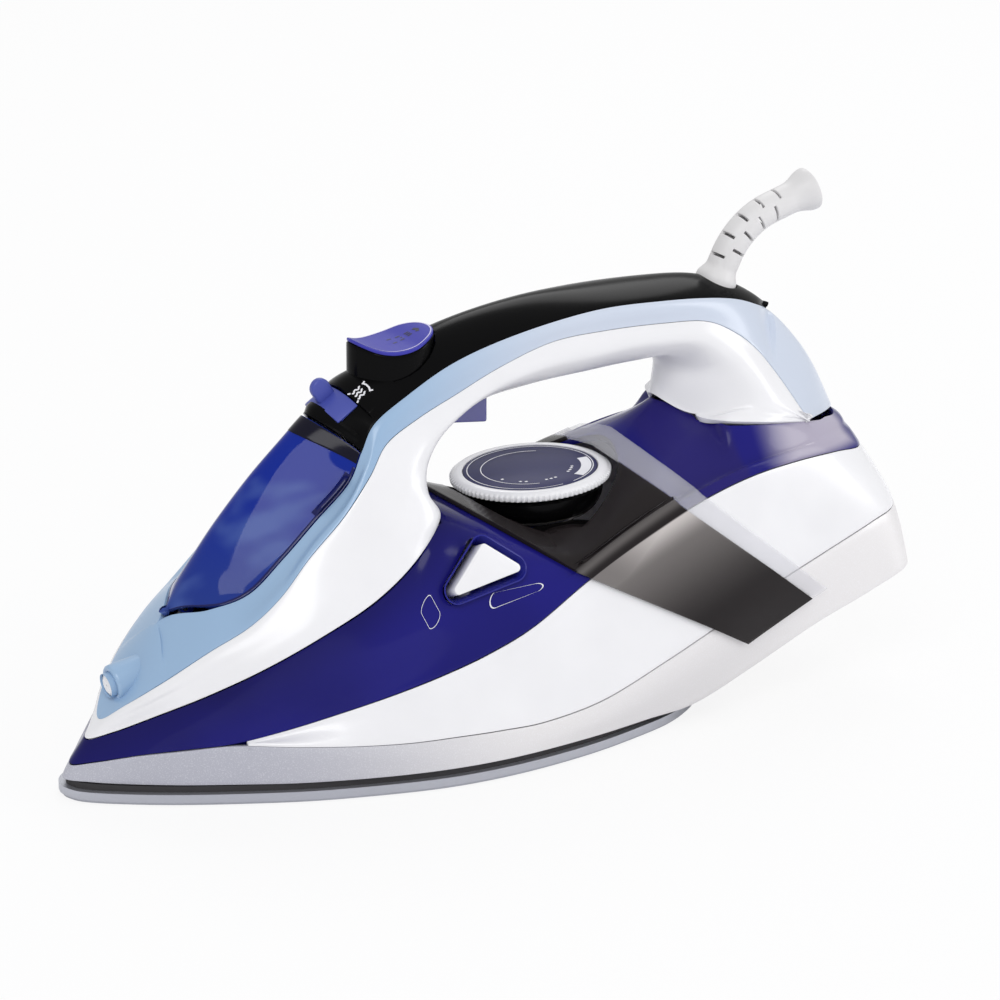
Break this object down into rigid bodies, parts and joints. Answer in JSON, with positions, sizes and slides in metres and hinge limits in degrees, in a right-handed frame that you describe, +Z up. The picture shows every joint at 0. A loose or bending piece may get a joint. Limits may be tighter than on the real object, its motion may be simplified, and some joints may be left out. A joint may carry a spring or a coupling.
{
  "type": "steam iron",
  "caption": "Steam iron with a pointed sole, translucent water tank, looped handle, thermostat dial, filler door, spray and steam controls and a swivelling cord sleeve.",
  "frame": {"origin": "centre of the soleplate's length and width, on its ironing face", "axes": "+X from the nose to the heel, +Z up, and the self-clean button is on the -Y side"},
  "size_m": [0.3201, 0.1196, 0.1803],
  "materials": {
    "soleplate": "brushed",
    "casting": "as cast",
    "steel": "plain",
    "gasket": "matt",
    "skirt": "fine metallic",
    "heel": "satin",
    "shield": "matt",
    "white": "gloss",
    "light_blue": "gloss",
    "black": "high gloss",
    "tank": "clear gloss",
    "smoke": "high gloss",
    "clear": "gloss",
    "door": "clear gloss",
    "navy": "satin",
    "purple": "satin",
    "lever_blue": "satin",
    "trigger_violet": "clear gloss",
    "inner": "matt",
    "wire": "matt",
    "brass": "plain"
  },
  "bodies": {
    "body": {"soleplate": "soleplate", "heater_casting": "casting", "heating_element": "steel", "chamber_cover": "steel", "chamber_screws": "steel", "sole_gasket": "gasket", "base_skirt": "skirt", "heel_plate": "heel", "heat_shield": "shield", "side_panels": "white", "water_tank": "tank", "tank_floor": "tank", "deck_cover": "smoke", "deck_edge_strip": "clear", "dial_cup": "black", "handle_shell": "white", "handle_trim": "light_blue", "handle_top": "black", "filler_basin": "tank", "filler_neck": "tank", "hinge_ears": "tank", "door_pin": "steel", "spray_nozzle": "white", "nozzle_hose": "clear", "thermostat": "brass", "thermal_fuse": "white", "spray_spring": "steel", "spray_pump": "white", "lever_bracket": "inner", "valve_seat": "brass", "trigger_pin": "steel", "trigger_spring": "steel", "steam_pump": "white", "self_clean_spring": "steel", "self_clean_guide": "tank", "cord_socket": "inner", "terminal_block": "white", "mains_leads": "wire", "handle_frame": "inner"},
    "dial": {"dial_ring": "white", "dial_disc": "navy", "thermostat_shaft": "steel"},
    "steam_lever_body": {"steam_lever": "lever_blue"},
    "valve_rod_body": {"valve_rod": "steel"},
    "spray_button_body": {"spray_button": "black", "spray_button_cap": "purple", "spray_piston": "steel"},
    "steam_trigger_body": {"steam_trigger": "trigger_violet"},
    "steam_piston_body": {"steam_piston": "steel"},
    "filler_door_body": {"filler_door": "door", "door_hinge": "door"},
    "self_clean_button_body": {"self_clean_button": "white"},
    "cord_sleeve_body": {"cord_sleeve": "white"}
  },
  "joints": [
    {"name": "dial_turn", "type": "hinge", "parent": "body", "child": "dial", "pos_m": [0.063, 0, 0.087], "axis": [-0.0698, 0, 0.9976], "range_deg": [0, 300]},
    {"name": "lever_swing", "type": "hinge", "parent": "body", "child": "steam_lever_body", "pos_m": [-0.00678, 0, 0.10782], "axis": [0.8391, 0, 0.544], "range_deg": [-13, 13]},
    {"name": "valve_lift", "type": "slide", "parent": "body", "child": "valve_rod_body", "axis": [0, 0, 1], "range_m": [-0.0015, 0.0015]},
    {"name": "spray_press", "type": "slide", "parent": "body", "child": "spray_button_body", "axis": [0, 0, -1], "range_m": [0, 0.004], "stiffness_N_per_m": 400, "springref_m": -0.005, "deforming": ["spray_spring"]},
    {"name": "trigger_squeeze", "type": "hinge", "parent": "body", "child": "steam_trigger_body", "pos_m": [0.027, 0, 0.121], "axis": [0, -1, 0], "range_deg": [0, 8]},
    {"name": "pump_stroke", "type": "slide", "parent": "body", "child": "steam_piston_body", "axis": [0, 0, 1], "range_m": [0, 0.00184], "stiffness_N_per_m": 300, "springref_m": -0.0005, "deforming": ["trigger_spring"]},
    {"name": "door_open", "type": "hinge", "parent": "body", "child": "filler_door_body", "pos_m": [-0.07328, 0, 0.05968], "axis": [0, -1, 0], "range_deg": [0, 40]},
    {"name": "clean_press", "type": "slide", "parent": "body", "child": "self_clean_button_body", "axis": [0, 0.9171, -0.3987], "range_m": [0, 0.003], "stiffness_N_per_m": 300, "springref_m": -0.005, "deforming": ["self_clean_spring"]},
    {"name": "sleeve_swivel", "type": "hinge", "parent": "body", "child": "cord_sleeve_body", "pos_m": [0.139, 0, 0.1442], "axis": [0.454, 0, 0.891], "range_deg": [-45, 45]}
  ],
  "couplings": [
    {"joint": "lever_swing", "follows": "valve_lift", "rad_per_m": 151.51},
    {"joint": "trigger_squeeze", "follows": "pump_stroke", "rad_per_m": 75.757}
  ]
}
